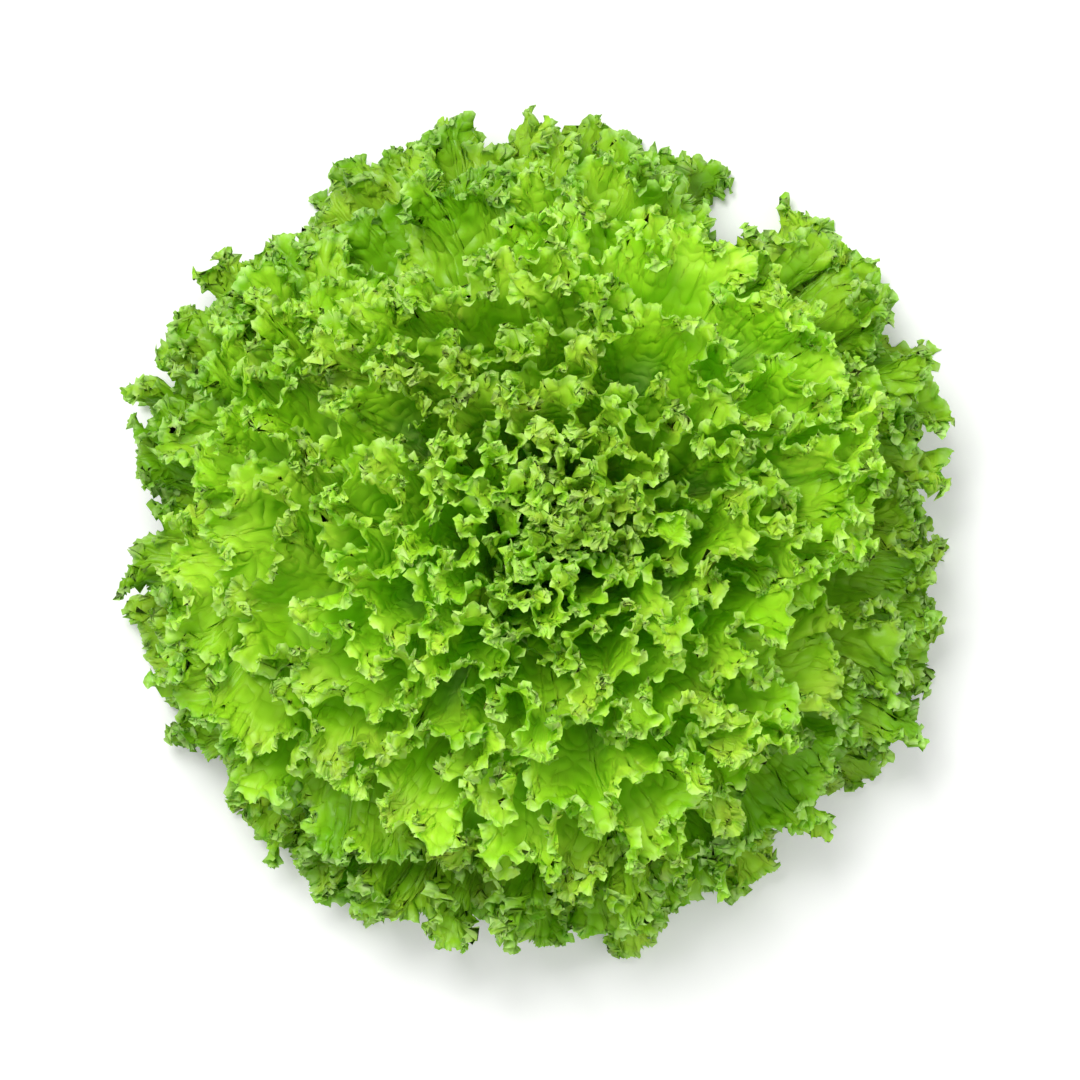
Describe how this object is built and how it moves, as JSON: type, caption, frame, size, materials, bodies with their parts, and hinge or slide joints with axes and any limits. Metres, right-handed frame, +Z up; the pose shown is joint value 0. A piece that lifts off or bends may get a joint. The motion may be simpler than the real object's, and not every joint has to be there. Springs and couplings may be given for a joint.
{
  "type": "curly leaf lettuce",
  "caption": "Whole head of curly leaf lettuce: rings of frilled green leaves on a short cut stem, standing on the cut with its outer leaves drooping to the table.",
  "frame": {"origin": "centre of the stem's cut face, on the table", "axes": "+Z up, along the stem towards the heart; +Y is the top of the head as it is seen from above, and +X its right"},
  "size_m": [0.2727, 0.2747, 0.1497],
  "materials": {
    "stem": "matte",
    "heart_leaf": "satin",
    "inner_leaf": "satin",
    "outer_leaf": "satin"
  },
  "bodies": {
    "root": {"heart_leaf_01": "heart_leaf", "heart_leaf_02": "heart_leaf", "heart_leaf_03": "heart_leaf", "heart_leaf_04": "heart_leaf", "inner_leaf_05": "inner_leaf", "inner_leaf_06": "inner_leaf", "inner_leaf_07": "inner_leaf", "inner_leaf_08": "inner_leaf", "inner_leaf_09": "inner_leaf", "inner_leaf_10": "inner_leaf", "inner_leaf_11": "inner_leaf", "inner_leaf_12": "inner_leaf", "inner_leaf_13": "inner_leaf", "inner_leaf_14": "inner_leaf", "inner_leaf_15": "inner_leaf", "inner_leaf_16": "inner_leaf", "inner_leaf_17": "inner_leaf", "inner_leaf_18": "inner_leaf", "inner_leaf_19": "inner_leaf", "inner_leaf_20": "inner_leaf", "inner_leaf_21": "inner_leaf", "inner_leaf_22": "inner_leaf", "inner_leaf_23": "inner_leaf", "inner_leaf_24": "inner_leaf", "inner_leaf_25": "inner_leaf", "inner_leaf_26": "inner_leaf", "inner_leaf_27": "inner_leaf", "inner_leaf_28": "inner_leaf", "inner_leaf_29": "inner_leaf", "inner_leaf_30": "inner_leaf", "inner_leaf_31": "inner_leaf", "inner_leaf_32": "inner_leaf", "inner_leaf_33": "inner_leaf", "inner_leaf_34": "inner_leaf", "outer_leaf_35": "outer_leaf", "outer_leaf_36": "outer_leaf", "outer_leaf_37": "outer_leaf", "outer_leaf_38": "outer_leaf", "outer_leaf_39": "outer_leaf", "outer_leaf_40": "outer_leaf", "outer_leaf_41": "outer_leaf", "outer_leaf_42": "outer_leaf", "outer_leaf_43": "outer_leaf", "outer_leaf_44": "outer_leaf", "outer_leaf_45": "outer_leaf", "outer_leaf_46": "outer_leaf", "outer_leaf_47": "outer_leaf", "outer_leaf_48": "outer_leaf", "outer_leaf_49": "outer_leaf", "outer_leaf_50": "outer_leaf", "outer_leaf_51": "outer_leaf", "outer_leaf_52": "outer_leaf", "outer_leaf_53": "outer_leaf", "outer_leaf_54": "outer_leaf", "outer_leaf_55": "outer_leaf", "outer_leaf_56": "outer_leaf", "outer_leaf_57": "outer_leaf", "outer_leaf_58": "outer_leaf", "outer_leaf_59": "outer_leaf", "stem": "stem"}
  },
  "joints": []
}
